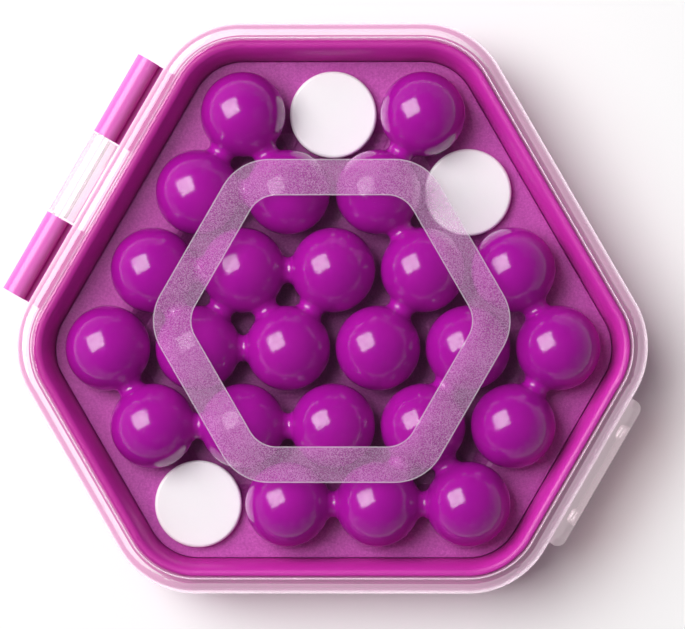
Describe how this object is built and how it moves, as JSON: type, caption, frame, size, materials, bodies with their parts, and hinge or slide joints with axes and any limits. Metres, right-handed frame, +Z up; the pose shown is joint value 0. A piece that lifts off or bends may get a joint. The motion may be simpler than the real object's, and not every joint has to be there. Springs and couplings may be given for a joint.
{
  "type": "hexagon logic puzzle",
  "caption": "Travel logic puzzle: a hinged hexagonal case with a clear lid, a seat tray, puzzle pieces of joined beads and flat round blanks.",
  "frame": {"origin": "centre of the board, on the case's flat underside", "axes": "+Z up out of the tray, +X along the longest row of seats towards its right end, hinge at the upper left (150 degrees), latch at the lower right"},
  "size_m": [0.086, 0.0759, 0.0166],
  "materials": {
    "case_plastic": "glossy moulded magenta plastic",
    "tray_plastic": "satin moulded mauve plastic",
    "clear_plastic": "clear moulded plastic, polished",
    "bead_plastic": "glossy moulded purple plastic",
    "blank_plastic": "white moulded plastic, soft gloss"
  },
  "bodies": {
    "base": {"base_shell": "case_plastic", "bead_tray": "tray_plastic"},
    "lid": {"clear_lid": "clear_plastic"},
    "triangle_piece": {"triangle_bead_1": "bead_plastic", "triangle_bead_2": "bead_plastic", "triangle_bead_3": "bead_plastic"},
    "zigzag_piece": {"zigzag_bead_1": "bead_plastic", "zigzag_bead_2": "bead_plastic", "zigzag_bead_3": "bead_plastic", "zigzag_bead_4": "bead_plastic"},
    "trapezoid_piece": {"trapezoid_bead_1": "bead_plastic", "trapezoid_bead_2": "bead_plastic", "trapezoid_bead_3": "bead_plastic", "trapezoid_bead_4": "bead_plastic", "trapezoid_bead_5": "bead_plastic"},
    "hook_piece": {"hook_bead_1": "bead_plastic", "hook_bead_2": "bead_plastic", "hook_bead_3": "bead_plastic", "hook_bead_4": "bead_plastic"},
    "corner_piece": {"corner_bead_1": "bead_plastic", "corner_bead_2": "bead_plastic", "corner_bead_3": "bead_plastic"},
    "boot_piece": {"boot_bead_1": "bead_plastic", "boot_bead_2": "bead_plastic", "boot_bead_3": "bead_plastic", "boot_bead_4": "bead_plastic", "boot_bead_5": "bead_plastic"},
    "top_blank": {"top_blank": "blank_plastic"},
    "right_blank": {"right_blank": "blank_plastic"},
    "lower_blank": {"lower_blank": "blank_plastic"}
  },
  "joints": [
    {"name": "lid_hinge", "type": "hinge", "parent": "base", "child": "lid", "pos_m": [-0.0336, 0.0194, 0.0085], "axis": [-0.5, -0.866, 0], "range_deg": [0, 180]},
    {"name": "triangle_lift", "type": "slide", "parent": "base", "child": "triangle_piece", "axis": [0, 0, 1], "range_m": [0, 0.001]},
    {"name": "zigzag_lift", "type": "slide", "parent": "base", "child": "zigzag_piece", "axis": [0, 0, 1], "range_m": [0, 0.001]},
    {"name": "trapezoid_lift", "type": "slide", "parent": "base", "child": "trapezoid_piece", "axis": [0, 0, 1], "range_m": [0, 0.001]},
    {"name": "hook_lift", "type": "slide", "parent": "base", "child": "hook_piece", "axis": [0, 0, 1], "range_m": [0, 0.001]},
    {"name": "corner_lift", "type": "slide", "parent": "base", "child": "corner_piece", "axis": [0, 0, 1], "range_m": [0, 0.001]},
    {"name": "boot_lift", "type": "slide", "parent": "base", "child": "boot_piece", "axis": [0, 0, 1], "range_m": [0, 0.001]},
    {"name": "top_blank_lift", "type": "slide", "parent": "base", "child": "top_blank", "axis": [0, 0, 1], "range_m": [0, 0.0075]},
    {"name": "right_blank_lift", "type": "slide", "parent": "base", "child": "right_blank", "axis": [0, 0, 1], "range_m": [0, 0.0075]},
    {"name": "lower_blank_lift", "type": "slide", "parent": "base", "child": "lower_blank", "axis": [0, 0, 1], "range_m": [0, 0.0075]}
  ]
}
